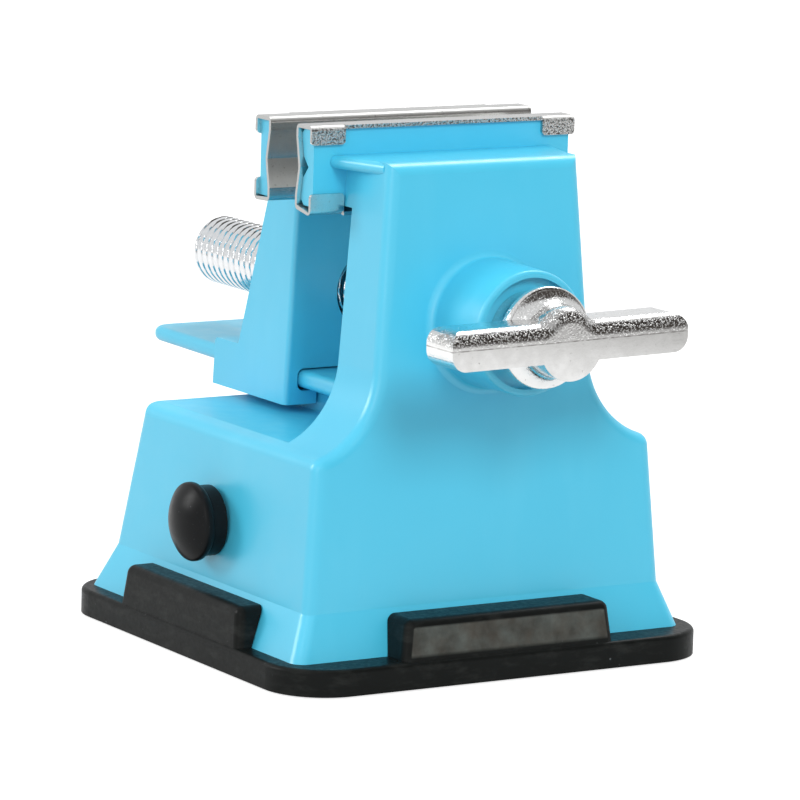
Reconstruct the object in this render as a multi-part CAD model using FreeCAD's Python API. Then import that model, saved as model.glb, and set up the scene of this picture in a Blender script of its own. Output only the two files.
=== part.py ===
import FreeCAD, Part
import math
import os

# Small bench vise on a square suction base.  Millimetres.
# +X runs along the clamp screw towards its handle, +Y along the jaws, +Z up.
# The origin is the middle of the suction pad's flat underside.

# --- suction pad ---------------------------------------------------------------------
pad_margin = 2.6             # how far the pad stands out beyond the housing
pad_rim = 3.5                # thickness of the rim under the housing
pad_corner = 8.0             # corner radius seen from above
pad_web = 1.6                # thickness in the middle, where the pad bends
pad_web_radius = 12.0        # flat middle of the pad
pad_rim_radius = 21.0        # where the rim reaches its full thickness
tab_half = 15.3              # half the width of one lifting tab, at its top
tab_foot_more = 0.8          # wider at its foot by this, each side
tab_top = 8.8                # height of a tab above the bench
tab_inset = 0.9              # its outer face from the pad's edge, at the top
tab_inset_foot = 0.3
tab_gap = 0.15               # tab to housing
tab_round = 1.2              # its rounded edges

# --- housing: base ---------------------------------------------------------------------
base_front = 25.55           # +X face, at skirt_top
base_rear = 26.1             # -X face, at skirt_top
base_half = 27.05            # +Y and -Y faces, at skirt_top
skirt_top = 9.6              # height where the skirt begins to flare
skirt_flare_front = 1.75     # how far the three faces flare out down to the pad
skirt_flare_rear = 2.55
skirt_flare_side = 2.35
platform = 29.5              # top of the base, under the moving jaw
front_draft = 3.35           # lean of each face, degrees
rear_draft = 12.5
side_draft = 4.6
base_corner = 1.7            # upright corners
skirt_corner = 1.8           # and at the foot of the skirt
platform_round = 1.8         # rounded top edge of the base
wall = 2.5                   # wall of the moulding

# --- housing: tower --------------------------------------------------------------------
tower_rear = 13.7            # flat rear face, above the platform
tower_top = 66.1             # height of the shoulder
tower_half = 14.3            # half the width at the shoulder
tower_draft = 4.25           # lean of its two ends, degrees
flank_radius = 12.0          # hollow curve from the tower's ends to the base
flank_drop = 0.7             # the curve meets the base's side this far below the platform
tower_edge = 1.6             # rounded edges of the front face
shelf_depth = 1.7            # lip along the shoulder's ends
shelf_out_rear = 2.6         # how far it stands out beyond them
shelf_out_front = 0.2

# --- jaw bars and their steel plates -------------------------------------------------
plate_half = 20.0            # half the length of a jaw plate
plate_overhang = 0.6         # plate beyond the end of its bar
plate_rise = 3.9             # plate above the shoulder
plate_height = 11.0
sheet = 0.5                  # thickness of the plate's steel
plate_depth = 4.0            # plate over all, front to back
plate_bend = 0.75            # outside radius of its bends
hook_width = 5.0             # the hooks behind each end of a bar
hook_height = 2.5            # the upper hooks
hook_height_low = 2.9        # the lower ones
hook_round = 0.5             # their corners
fixed_flange_drop = 0.7      # the lower flange is bent open by this at its back
moving_flange_drop = 0.15
groove_half = 3.75           # shallow V along the plate
groove_depth = 0.7
bar_groove_half = 1.4        # deeper V in the bar behind it
bar_groove_depth = 1.7
bar_gap = 0.05               # plate to bar
bar_chamfer = 0.7
fixed_face = 8.0             # grip face of the fixed jaw plate, along X
jaw_opening = 6.6            # gap between the plates as stored
tower_reach = 2.1            # the tower reaches forward by this behind the fixed bar

# --- guide rail ------------------------------------------------------------------------
rail_end = 47.2              # how far it reaches behind the origin
rail_half = 11.05
rail_rise = 3.7              # its underside above the platform
rail_thick = 2.0             # at its free end
rail_taper = 0.6             # thicker by this at the tower, underneath
rail_corner = 3.0
web_half = 7.9               # rib that carries the rail
gusset_reach = 28.5          # the rib carries the rail out to here behind the base
gusset_drop = 2.0            # and meets the base's rear face this far below the platform
slide_gap = 0.2              # moving jaw to rail

# --- moving jaw ------------------------------------------------------------------------
jaw_set_back = 6.6           # column's front, behind the plate's grip face
jaw_foot_gap = 1.1           # underside of the foot above the platform
jaw_foot_high = 6.3
jaw_foot_depth = 19.5        # front to back
jaw_waist_depth = 13.2      # the column above the foot
jaw_crest_depth = 5.2        # and at its top
jaw_wall = 1.9               # the foot beside the rail
jaw_draft = 2.55             # lean of its two sides, degrees
jaw_edge = 0.7               # rounded front edges
jaw_rear_edge = 0.7
lip_gap = 0.4                # the foot's lips under the rail, to the rib
jaw_bore_gap = 0.75          # the screw passes through here

# --- clamp screw and handle --------------------------------------------------------------
screw_height = 45.3
screw_radius = 4.75
screw_tip = -46.3
hub_wall = 2.0               # the handle over the end of the screw
spigot_step = 1.55           # the part of the screw that the handle holds is thinner by this
screw_tip_chamfer = 0.6
run_gap = 0.06               # radial gap of a turning fit
boss_wall = 0.9              # round the recess in its front
boss_root_more = 0.3         # wider at its root by this
boss_root_round = 1.0
boss_front = 34.0
boss_recess_gap = 2.45       # recess round the screw
boss_recess_depth = 1.3
boss_lip_round = 0.5
tube_wall = 2.6              # round the screw inside the hollow tower
neck_wall = 2.2              # handle's neck round the spigot
collar_rim = 1.2             # collar beyond the neck
collar_gap = 2.5             # collar to boss
collar_thick = 1.4
hub_radius_wall = 1.45       # hub round the spigot
handle_thick = 6.2           # bar of the handle, along the screw
handle_reach = 5.6           # its front beyond the collar
handle_half = 17.6
handle_low = -2.2            # bar of the handle, from the screw's axis
handle_parting = 0.6         # the rounded upper half starts here
handle_high = 2.8
handle_end_radius = 2.1
handle_round = 1.9           # front edge of the upper half
handle_flush = 0.5           # the bar's flush ends start this far inside its round corners
handle_back_round = 0.5
handle_blend = 1.2           # hollow between the bar and the bump over the hub
collar_round = 0.45
handle_turn = 1.2            # how far the bar stands off level, degrees
washer_thick = 1.0
inner_washer_wall = 2.25     # inner washer beyond the screw
washer_gap = 0.1             # screw to washer
ring_thick = 0.8             # retaining ring in the screw's groove
ring_wall = 1.55             # and beyond the screw
groove_depth_ring = 0.75
end_float = 0.05             # axial play at each bearing face

# --- nut in the moving jaw -----------------------------------------------------------------
nut_wall = 3.25              # the nut's flats beyond the screw
nut_thick = 5.0
nut_front = 3.0              # behind the column's front face
nut_gap = 0.1

# --- suction lever and cam shaft --------------------------------------------------------------
shaft_height = 17.2
shaft_radius = 3.0
journal_radius = 5.0         # bigger journal on the lever's side
crank = 1.6                  # offset of the crank pin
crank_angle = 225.0          # its place as stored, in the XZ plane
crank_half = 5.9             # half the pin's length
crank_cheek = 0.5            # the pin runs into the shaft's ends by this
boss_inner = 13.0            # bearing tubes reach in to here
bearing_wall = 1.75
cap_gap = 0.15               # cap to the -Y face at its nearest
cap_stub_radius = 4.65
cap_stub_long = 1.9
cap_head_radius = 5.2
cap_rim_high = 1.3
cap_crown_high = 2.0
cap_round = 0.75             # rounded edges of its head
lever_gap = 0.35             # lever to the +Y face at its nearest
lever_thick = 5.0
lever_hub_radius = 7.2
lever_length = 31.0
lever_tip_radius = 4.6
lever_screw_radius = 1.5
lever_head_radius = 3.0
lever_head_height = 1.6
lever_screw_depth = 10.0
lever_flat = 0.7             # the shaft's end is a D
lever_floor = 2.0            # lever's outer wall over the shaft's end
lever_washer_thick = 0.5
lever_washer_radius = 4.0
cross_half = 1.7             # cross recess in the screw's head
cross_wide = 0.35
cross_deep = 0.9

# --- pull stud and yoke ------------------------------------------------------------
stud_disc_radius = 9.0
stud_disc_gap = 0.15         # its disc above the pad's web
stud_disc_thick = 1.2
stud_radius = 2.0
yoke_wall_x = 2.6            # walls of the yoke beside its slot
yoke_floor = 2.1
yoke_wall = 2.4
yoke_gap = 1.0               # yoke to the shaft's shoulders, along Y
slot_spare = 0.4             # the slot is longer than the pin's path by this, each way
slot_gap = 0.16              # crank pin to slot, up and down
stud_nut_flats = 7.0
stud_nut_thick = 2.4
nut_clear = 0.5              # stud nut above the guide plate
guide_thick = 2.0
guide_wall_gap = 3.5         # guide plate to the base's walls
guide_corner = 3.0
guide_gap = 0.3              # stud to its hole
post_inset = 4.2             # posts from the plate's edges
post_radius = 3.0
post_screw_radius = 1.3
post_head_radius = 2.5
post_head_height = 1.5
post_screw_depth = 9.0

# --- worked out from the sizes above ---------------------------------------------------------
skirt_front = base_front + skirt_flare_front
skirt_rear = base_rear + skirt_flare_rear
skirt_half = base_half + skirt_flare_side
pad_half = max(skirt_front, skirt_rear, skirt_half) + pad_margin
ceiling = platform - wall
flank_meets = platform - flank_drop
plate_top = tower_top + plate_rise
bar_low = plate_top - plate_height + sheet
bar_high = plate_top - sheet
bar_half = plate_half - plate_overhang
moving_face = fixed_face - jaw_opening
bar_tower_joint = tower_rear - tower_reach
shelf_half_rear = tower_half + shelf_out_rear
shelf_half_front = tower_half + shelf_out_front
rail_low = platform + rail_rise
rail_high = rail_low + rail_thick
gusset_low = platform - gusset_drop
jaw_front = moving_face - jaw_set_back
jaw_foot = platform + jaw_foot_gap
jaw_foot_top = jaw_foot + jaw_foot_high
jaw_half = rail_half + slide_gap + jaw_wall
lip_inner = web_half + lip_gap
jaw_bore_radius = screw_radius + jaw_bore_gap
bullnose = 0.47 * rail_thick
nut_flats = 2 * (screw_radius + nut_wall)
spigot_radius = screw_radius - spigot_step
neck_radius = spigot_radius + neck_wall
collar_radius = neck_radius + collar_rim
hub_radius = spigot_radius + hub_radius_wall
boss_recess_radius = screw_radius + boss_recess_gap
boss_radius_front = boss_recess_radius + boss_wall
boss_radius_root = boss_radius_front + boss_root_more
inner_washer_radius = screw_radius + inner_washer_wall
ring_radius = screw_radius + ring_wall
groove_radius = screw_radius - groove_depth_ring
tube_radius = screw_radius + run_gap + tube_wall
boss_recess_floor = boss_front - boss_recess_depth
collar_back = boss_front + collar_gap
collar_front = collar_back + collar_thick
handle_front = collar_front + handle_reach
handle_back = handle_front - handle_thick
screw_head = handle_front - hub_wall
neck_back = boss_recess_floor + end_float
ring_back = tower_rear - washer_thick - 2 * end_float


def vec(x, y, z):
    return FreeCAD.Vector(x, y, z)


def slope(degrees):
    return math.tan(math.radians(degrees))


def closed_wire(points, place):
    """A closed wire. A point is (a, b); a pair of points is an arc's middle and end."""
    edges = []
    last = points[0]
    for step in points[1:] + [points[0]]:
        is_arc = isinstance(step[0], tuple)
        end = step[1] if is_arc else step
        if is_arc:
            edges.append(Part.Arc(place(*last), place(*step[0]), place(*end)).toShape())
        elif end != last:
            edges.append(Part.makeLine(place(*last), place(*end)))
        last = end
    return Part.Wire(edges)


def prism_y(points, y_low, y_high):
    """Extrudes an outline in the XZ plane along Y."""
    wire = closed_wire(points, lambda x, z: vec(x, y_low, z))
    return Part.Face(wire).extrude(vec(0, y_high - y_low, 0))


def prism_x(points, x_low, x_high):
    """Extrudes an outline in the YZ plane along X."""
    wire = closed_wire(points, lambda y, z: vec(x_low, y, z))
    return Part.Face(wire).extrude(vec(x_high - x_low, 0, 0))


def prism_z(points, z_low, z_high):
    """Extrudes an outline in the XY plane along Z."""
    wire = closed_wire(points, lambda x, y: vec(x, y, z_low))
    return Part.Face(wire).extrude(vec(0, 0, z_high - z_low))


def block(x_low, x_high, y_low, y_high, z_low, z_high):
    return Part.makeBox(x_high - x_low, y_high - y_low, z_high - z_low, vec(x_low, y_low, z_low))


def rod_x(radius, x_low, x_high, y=0.0, z=screw_height):
    return Part.makeCylinder(radius, x_high - x_low, vec(x_low, y, z), vec(1, 0, 0))


def rod_y(radius, y_low, y_high, x=0.0, z=shaft_height):
    return Part.makeCylinder(radius, y_high - y_low, vec(x, y_low, z), vec(0, 1, 0))


def rod_z(radius, z_low, z_high, x=0.0, y=0.0):
    return Part.makeCylinder(radius, z_high - z_low, vec(x, y, z_low))


def rounded_rectangle(x_low, x_high, y_low, y_high, radius, z):
    """A closed wire: a rectangle with round corners at height z."""
    middle = radius * (1 - math.sqrt(0.5))
    points = [
        (x_low + radius, y_low),
        (x_high - radius, y_low),
        ((x_high - middle, y_low + middle), (x_high, y_low + radius)),
        (x_high, y_high - radius),
        ((x_high - middle, y_high - middle), (x_high - radius, y_high)),
        (x_low + radius, y_high),
        ((x_low + middle, y_high - middle), (x_low, y_high - radius)),
        (x_low, y_low + radius),
        ((x_low + middle, y_low + middle), (x_low + radius, y_low)),
    ]
    return closed_wire(points, lambda x, y: vec(x, y, z))


def fillet(shape, radius, chosen):
    """Rounds the edges of a shape that the test picks out."""
    edges = [edge for edge in shape.Edges if chosen(edge)]
    return shape.makeFillet(radius, edges)


def hexagon(flats):
    """Corners of a hexagon, with two flats level."""
    radius = flats / math.sqrt(3)
    turns = [math.radians(60 * i) for i in range(6)]
    return [(radius * math.cos(turn), radius * math.sin(turn)) for turn in turns]


def hexagon_x(flats, x_low, x_high):
    """A hexagonal bar along the clamp screw's axis."""
    return prism_x([(y, screw_height + z) for y, z in hexagon(flats)], x_low, x_high)


def post_places():
    """Middles of the four posts that hold the guide plate."""
    return [(x, y) for x in (-post_x, post_x) for y in (-post_y, post_y)]


def save(shape, name):
    shape.exportStep(os.path.join("parts", name + ".step"))
    box = shape.BoundBox
    print(name, len(shape.Solids), shape.isValid(), round(shape.Volume, 1),
          round(box.XLength, 1), round(box.YLength, 1), round(box.ZLength, 1))


# Faces of the housing at a height.
def front_at(z):
    return base_front - (z - skirt_top) * slope(front_draft)


def rear_at(z):
    return -base_rear + (z - skirt_top) * slope(rear_draft)


def side_at(z):
    return base_half - (z - skirt_top) * slope(side_draft)


def tower_half_at(z):
    return tower_half + (tower_top - z) * slope(tower_draft)


# The cap and the lever stand just clear of the leaning sides.
cap_stub_start = side_at(shaft_height - cap_stub_radius) + cap_gap
cap_stub_end = cap_stub_start + cap_stub_long
cap_rim_end = cap_stub_end + cap_rim_high
cap_crown = cap_rim_end + cap_crown_high
lever_face = side_at(shaft_height - lever_hub_radius) + lever_gap

# The crank pin as stored, and the yoke, stud and guide plate that follow from it.
pin_x = crank * math.cos(math.radians(crank_angle))
pin_z = shaft_height + crank * math.sin(math.radians(crank_angle))
slot_half = shaft_radius + slot_gap
yoke_low = pin_z - slot_half - yoke_floor
yoke_high = pin_z + slot_half + yoke_wall
stud_top = yoke_low + yoke_floor - slot_gap
stud_disc_low = pad_web + stud_disc_gap
guide_top = yoke_low - stud_nut_thick - nut_clear
guide_low = guide_top - guide_thick
guide_half_x = min(base_front, base_rear) - wall - guide_wall_gap
guide_half_y = base_half - wall - guide_wall_gap
post_x = guide_half_x - post_inset
post_y = guide_half_y - post_inset


def flank_arc():
    """Where the hollow flank leaves the tower's end, its middle and its end on the base."""
    lean = math.radians(tower_draft)
    normal = (math.cos(lean), math.sin(lean))
    upward = (-math.sin(lean), math.cos(lean))
    corner = (side_at(flank_meets), flank_meets)
    away = (corner[0] - tower_half) * normal[0] + (corner[1] - tower_top) * normal[1]
    along = math.sqrt(2 * flank_radius * away - away ** 2)
    inward = flank_radius - away
    centre = (corner[0] + inward * normal[0] + along * upward[0],
              corner[1] + inward * normal[1] + along * upward[1])
    start = (centre[0] - flank_radius * normal[0], centre[1] - flank_radius * normal[1])
    first = math.atan2(start[1] - centre[1], start[0] - centre[0])
    last = math.atan2(corner[1] - centre[1], corner[0] - centre[0])
    if first > 0:
        first -= 2 * math.pi
    half_way = (first + last) / 2
    middle = (centre[0] + flank_radius * math.cos(half_way),
              centre[1] + flank_radius * math.sin(half_way))
    return start, middle, corner


def front_wedge(inset):
    """Everything behind the sloping front face, moved in by a wall."""
    low, high = 0.0, 80.0
    points = [(-60.0, low), (front_at(low) - inset, low), (front_at(high) - inset, high), (-60.0, high)]
    return prism_y(points, -60.0, 60.0)


def tower_outline(inset, low):
    """Outline of the tower seen along X, moved in by a wall."""
    start, middle, corner = flank_arc()
    top = tower_top - inset
    foot = side_at(low) - inset
    return [
        (-foot, low),
        (foot, low),
        (corner[0] - inset, corner[1] - inset),
        ((middle[0] - inset, middle[1] - inset), (start[0] - inset, start[1])),
        (tower_half_at(top) - inset, top),
        (-tower_half_at(top) + inset, top),
        (-start[0] + inset, start[1]),
        ((-middle[0] + inset, middle[1] - inset), (-corner[0] + inset, corner[1] - inset)),
    ]


def along_x(edge):
    box = edge.BoundBox
    return box.XLength > 1.0 and box.YLength < 0.01 and box.ZLength < 0.01


def tower_form(low, x_low):
    """The tower's section with its hollow flanks, drawn out along X."""
    solid = prism_x(tower_outline(0.0, low), x_low, 32.0)
    return fillet(solid, platform_round,
                  lambda e: along_x(e) and abs(e.CenterOfMass.z - flank_meets) < 0.1)


def tower_solid():
    """The front of the housing: base side, hollow flank, tower and screw boss."""
    low = skirt_top - 1.0
    solid = tower_form(low, tower_rear).common(front_wedge(0.0))

    def on_front(edge):
        mid = edge.CenterOfMass
        near = all(abs(v.X - front_at(v.Z)) < 0.01 for v in edge.Vertexes)
        return near and mid.z > low + 0.5

    solid = fillet(solid, tower_edge, on_front).fuse(screw_boss())
    root = front_at(screw_height)
    return fillet(solid, boss_root_round, lambda e: e.Closed and abs(e.CenterOfMass.x - root) < 0.5)


def base_solid():
    """The rear of the housing under the moving jaw, and the flared skirt."""
    low = skirt_top - 1.0
    joint = tower_rear + 0.5
    sections = [rounded_rectangle(rear_at(z), 3 * joint, -side_at(z), side_at(z), base_corner, z)
                for z in (low, platform)]
    box = Part.makeLoft(sections, True, True).common(block(-40, joint, -40, 40, 0, 80))
    box = fillet(box, platform_round,
                 lambda e: e.BoundBox.ZMin > platform - 0.01 and e.CenterOfMass.x < joint - 0.1)
    box = box.common(tower_form(low, -40.0))
    tuck = 0.04
    skirt = Part.makeLoft([
        rounded_rectangle(-skirt_rear, skirt_front, -skirt_half, skirt_half, skirt_corner, pad_rim),
        rounded_rectangle(-base_rear + tuck, base_front - tuck, -base_half + tuck, base_half - tuck,
                          base_corner, skirt_top),
    ], True, True)
    return box, skirt


def base_hollow():
    """The space inside the base."""
    low = pad_rim - 1.0
    lower = rounded_rectangle(-skirt_rear + wall, skirt_front - wall, -skirt_half + wall,
                              skirt_half - wall, base_corner, low)
    middle = rounded_rectangle(-base_rear + wall, base_front - wall, -base_half + wall,
                               base_half - wall, base_corner, skirt_top)
    upper = rounded_rectangle(rear_at(ceiling) + wall, front_at(ceiling) - wall,
                              -side_at(ceiling) + wall, side_at(ceiling) - wall, base_corner, ceiling)
    return Part.makeLoft([lower, middle, upper], True, True)


def shoulder_lip():
    """The thin lip that stands out at both ends of the shoulder."""
    front = front_at(tower_top) - tower_edge
    points = [
        (bar_tower_joint, -shelf_half_rear),
        (front, -shelf_half_front),
        (front, shelf_half_front),
        (bar_tower_joint, shelf_half_rear),
    ]
    lip = prism_z(points, tower_top - shelf_depth, tower_top)
    round_edge = 0.8
    return fillet(lip, round_edge, lambda e: e.BoundBox.XLength > 3.0)


def bar_profile(face, sign):
    """Section of a jaw bar. sign is +1 for a bar whose body lies on the +X side of its face."""
    front = face + sign * (sheet + bar_gap)
    back = face + sign * (plate_depth - sheet)
    middle = (bar_low + bar_high) / 2
    steepness = groove_depth / groove_half
    mouth = front + sign * steepness * (groove_half - bar_groove_half)
    return [
        (front, bar_low + bar_chamfer),
        (front, middle - groove_half),
        (mouth, middle - bar_groove_half),
        (front + sign * bar_groove_depth, middle),
        (mouth, middle + bar_groove_half),
        (front, middle + groove_half),
        (front, bar_high - bar_chamfer),
        (front + sign * bar_chamfer, bar_high),
        (back, bar_high),
        (back, bar_low),
        (front + sign * bar_chamfer, bar_low),
    ]


def rail_and_web():
    """The rail that guides the moving jaw, and the rib under it."""
    root = tower_rear + 1.0
    rail = prism_y([(-rail_end, rail_low), (-rail_end, rail_high), (root, rail_high),
                    (root, rail_low - rail_taper)], -rail_half, rail_half)
    rail = fillet(rail, rail_corner, lambda e: e.BoundBox.ZLength > 1.0 and e.CenterOfMass.x < 0)
    rail = fillet(rail, bullnose, lambda e: e.BoundBox.ZLength < 1.0 and e.BoundBox.XMin < tower_rear)
    sunk = 0.5
    web = prism_y([
        (tower_rear + sunk, gusset_low), (rear_at(gusset_low) + sunk, gusset_low),
        (-gusset_reach, rail_low + sunk), (tower_rear + sunk, rail_low + sunk),
    ], -web_half, web_half)
    return rail, web


def tower_head():
    """Carries the fixed bar in front of the tower's rear face."""
    return prism_x([
        (-tower_half_at(bar_low), bar_low), (tower_half_at(bar_low), bar_low),
        (tower_half_at(tower_top), tower_top), (-tower_half_at(tower_top), tower_top),
    ], bar_tower_joint - 0.3, tower_rear + 1.0)


def screw_boss():
    root = front_at(screw_height) - 4.0
    boss = Part.makeCone(boss_radius_root, boss_radius_front, boss_front - root,
                         vec(root, 0, screw_height), vec(1, 0, 0))
    return fillet(boss, boss_lip_round, lambda e: e.BoundBox.XMin > boss_front - 0.01)


def housing_hollow():
    """The space inside the housing, less its tubes and posts."""
    tower_low = ceiling - 4.0
    tower_space = prism_x(tower_outline(wall + 0.2, tower_low), tower_rear + wall, 32.0)
    tower_space = tower_space.common(front_wedge(wall))
    rib_space = block(rear_at(platform) + 2 * wall, tower_rear - 1.0, -web_half + wall,
                      web_half - wall, ceiling - 1.0, rail_low - wall)
    hollow = base_hollow().fuse([tower_space, rib_space])
    hollow = hollow.cut(rod_x(tube_radius, 0.0, 40.0))
    hollow = hollow.cut(rod_y(journal_radius + bearing_wall, boss_inner, 40.0))
    hollow = hollow.cut(rod_y(shaft_radius + bearing_wall, -40.0, -boss_inner))
    for x, y in post_places():
        hollow = hollow.cut(rod_z(post_radius, guide_top, 40.0, x, y))
    return hollow


def housing():
    box, skirt = base_solid()
    bar = prism_y(bar_profile(fixed_face, 1), -bar_half, bar_half)
    rail, web = rail_and_web()
    shape = tower_solid().fuse([box, skirt, tower_head(), bar, shoulder_lip(), rail, web])
    shape = shape.removeSplitter().cut(housing_hollow())
    bores = [
        rod_x(screw_radius + run_gap, 0.0, 50.0),
        rod_x(boss_recess_radius, boss_recess_floor, 50.0),
        rod_y(journal_radius + run_gap, 0.0, 40.0),
        rod_y(shaft_radius + run_gap, -40.0, 0.0),
    ]
    for x, y in post_places():
        bores.append(rod_z(post_screw_radius, guide_top - 1.0, guide_top + post_screw_depth, x, y))
    for bore in bores:
        shape = shape.cut(bore)
    return shape.removeSplitter()


def jaw_plate(face, sign, drop):
    """A bent steel jaw plate: V-grooved front, two flanges, and hooks round the bar's ends."""
    inner = face + sign * sheet
    back = face + sign * plate_depth
    lap = back - sign * sheet
    low = plate_top - plate_height
    middle = plate_top - plate_height / 2
    dip = sign * groove_depth

    def section(hooked):
        """Outline in XZ, with or without the hooks at its back."""
        front = [(face, low), (face, middle - groove_half), (face + dip, middle),
                 (face, middle + groove_half), (face, plate_top), (back, plate_top)]
        inside = [(inner, bar_high), (inner, middle + groove_half), (inner + dip, middle),
                  (inner, middle - groove_half), (inner, bar_low)]
        upper = [(back, bar_high)]
        lower = [(back, bar_low - drop)]
        if hooked:
            hook_low = low + hook_height_low - drop
            upper = [(back, plate_top - hook_height), (lap, plate_top - hook_height), (lap, bar_high)]
            lower = [(lap, bar_low - drop), (lap, hook_low), (back, hook_low)]
        return front + upper + inside + lower + [(back, low - drop)]

    def bent(y_low, y_high, hooked):
        def is_bend(edge):
            mid = edge.CenterOfMass
            at_face = abs(mid.x - face) < 0.01 and min(abs(mid.z - plate_top), abs(mid.z - low)) < 0.01
            at_back = hooked and abs(mid.x - back) < 0.01 \
                and min(abs(mid.z - plate_top), abs(mid.z - low + drop)) < 0.01
            return (at_face or at_back) and edge.BoundBox.YLength > y_high - y_low - 0.1

        return fillet(prism_y(section(hooked), y_low, y_high), plate_bend, is_bend)

    inner_end = plate_half - hook_width
    plate = bent(-inner_end, inner_end, False)
    ends = [bent(-plate_half, -inner_end, True), bent(inner_end, plate_half, True)]

    def is_tip(edge):
        box = edge.BoundBox
        at_tip = min(abs(box.ZMax - plate_top + hook_height),
                     abs(box.ZMax - low - hook_height_low + drop)) < 0.01
        return at_tip and box.ZLength < 0.01 and box.YLength < 0.01

    return plate.fuse([fillet(end, hook_round, is_tip) for end in ends]).removeSplitter()


def jaw_half_at(z):
    return jaw_half - (z - jaw_foot) * slope(jaw_draft)


def moving_jaw():
    """The column that rides on the rail, with the neck and bar that it carries."""
    rear_foot = jaw_front - jaw_foot_depth
    rear_waist = jaw_front - jaw_waist_depth
    rear_crest = jaw_front - jaw_crest_depth
    column = prism_y([
        (jaw_front, jaw_foot), (jaw_front, tower_top), (rear_crest, tower_top),
        (rear_waist, jaw_foot_top), (rear_foot, jaw_foot_top), (rear_foot, jaw_foot),
    ], -25.0, 25.0)
    column = fillet(column, jaw_rear_edge, lambda e: e.BoundBox.YLength > 40
                    and e.CenterOfMass.z > jaw_foot_top - 0.1
                    and (e.CenterOfMass.x < rear_waist - 0.1 or e.CenterOfMass.z > tower_top - 0.1)
                    and e.CenterOfMass.x < jaw_front - 0.1)
    sides = prism_x([
        (-jaw_half_at(jaw_foot), jaw_foot), (jaw_half_at(jaw_foot), jaw_foot),
        (jaw_half_at(tower_top), tower_top), (-jaw_half_at(tower_top), tower_top),
    ], rear_foot - 1.0, jaw_front + 1.0)
    column = column.common(sides)
    column = fillet(column, jaw_edge, lambda e: e.BoundBox.ZLength > 20
                    and e.CenterOfMass.x > jaw_front - 0.1)

    bar = prism_y(bar_profile(moving_face, -1), -bar_half, bar_half)
    bar_back = moving_face - plate_depth + sheet
    sunk = 2.5
    neck_half = jaw_half_at(tower_top)
    plate_back = moving_face - plate_depth
    neck = prism_y([
        (jaw_front - sunk, bar_low - sunk), (plate_back - bar_gap, bar_low), (bar_back + 0.3, bar_low),
        (bar_back + 0.3, tower_top), (jaw_front - sunk, tower_top),
    ], -neck_half, neck_half)
    shape = column.fuse([bar, neck]).removeSplitter()

    slot_low = rail_low - rail_taper - slide_gap
    slot = block(rear_foot - 1.0, jaw_front + 1.0, -rail_half - slide_gap, rail_half + slide_gap,
                 slot_low, rail_high + slide_gap)
    slot = fillet(slot, bullnose, along_x)
    between_lips = block(rear_foot - 1.0, jaw_front + 1.0, -lip_inner, lip_inner,
                         jaw_foot - 1.0, rail_low)
    pocket = hexagon_x(nut_flats + 2 * nut_gap, rear_foot - 1.0, jaw_front - nut_front)
    bore = rod_x(jaw_bore_radius, rear_foot - 1.0, jaw_front + 1.0)
    for space in (slot, between_lips, pocket, bore):
        shape = shape.cut(space)
    return shape


def jaw_nut():
    """The hexagon nut pressed into the moving jaw's rear pocket."""
    front = jaw_front - nut_front
    nut = hexagon_x(nut_flats, front - nut_thick, front)
    return nut.cut(rod_x(screw_radius + run_gap, front - nut_thick - 1.0, front + 1.0))


def clamp_screw():
    body = rod_x(screw_radius, screw_tip, neck_back)
    body = body.makeChamfer(screw_tip_chamfer, [e for e in body.Edges
                                                if e.BoundBox.XMax < screw_tip + 0.1])
    groove = rod_x(screw_radius + 1.0, ring_back - ring_thick, ring_back)
    groove = groove.cut(rod_x(groove_radius, ring_back - ring_thick, ring_back))
    return body.cut(groove).fuse(rod_x(spigot_radius, neck_back - 1.0, screw_head)).removeSplitter()


def washer_x(outer, inner, x_low, x_high):
    return rod_x(outer, x_low, x_high).cut(rod_x(inner, x_low - 1.0, x_high + 1.0))


def inner_washer():
    """Between the housing and the retaining ring."""
    low = ring_back + end_float
    return washer_x(inner_washer_radius, screw_radius + washer_gap, low, low + washer_thick)


def retaining_ring():
    """An open ring in the screw's groove, with a gap at the bottom."""
    play = 0.02
    ring = washer_x(ring_radius, groove_radius + play, ring_back - ring_thick + play, ring_back - play)
    mouth = groove_radius * 1.5
    return ring.cut(block(0, 30, -mouth / 2, mouth / 2, screw_height - 10, screw_height - 1.0))


def handle_outline():
    """The bar with round ends and the hub's disc, seen along the screw."""
    def disc(y_sign, turn):
        return y_sign * hub_radius * math.cos(turn), hub_radius * math.sin(turn)

    def on_corner(y_sign, z, z_sign):
        """Middle of the round corner between an end and the bar's upper or lower side."""
        inset = handle_end_radius * (1 - math.sqrt(0.5))
        return y_sign * (handle_half - inset), z - z_sign * inset

    low_turn = math.asin(handle_low / hub_radius)
    blend_z = handle_high + handle_blend
    reach = hub_radius + handle_blend
    blend_turn = math.asin(blend_z / reach)
    blend_y = reach * math.cos(blend_turn)
    on_disc = (blend_turn - math.pi / 2) / 2
    inner = handle_half - handle_end_radius

    def blend_middle(y_sign):
        return (y_sign * (blend_y + handle_blend * math.sin(on_disc)),
                blend_z - handle_blend * math.cos(on_disc))

    return [
        (-inner, handle_low),
        disc(-1, low_turn),
        ((0.0, -hub_radius), disc(1, low_turn)),
        (inner, handle_low),
        (on_corner(1, handle_low, -1), (handle_half, handle_low + handle_end_radius)),
        (handle_half, handle_high - handle_end_radius),
        (on_corner(1, handle_high, 1), (inner, handle_high)),
        (blend_y, handle_high),
        (blend_middle(1), disc(1, blend_turn)),
        ((0.0, hub_radius), disc(-1, blend_turn)),
        (blend_middle(-1), (-blend_y, handle_high)),
        (-inner, handle_high),
        (on_corner(-1, handle_high, 1), (-handle_half, handle_high - handle_end_radius)),
        (-handle_half, handle_low + handle_end_radius),
        (on_corner(-1, handle_low, -1), (-inner, handle_low)),
    ]


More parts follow.
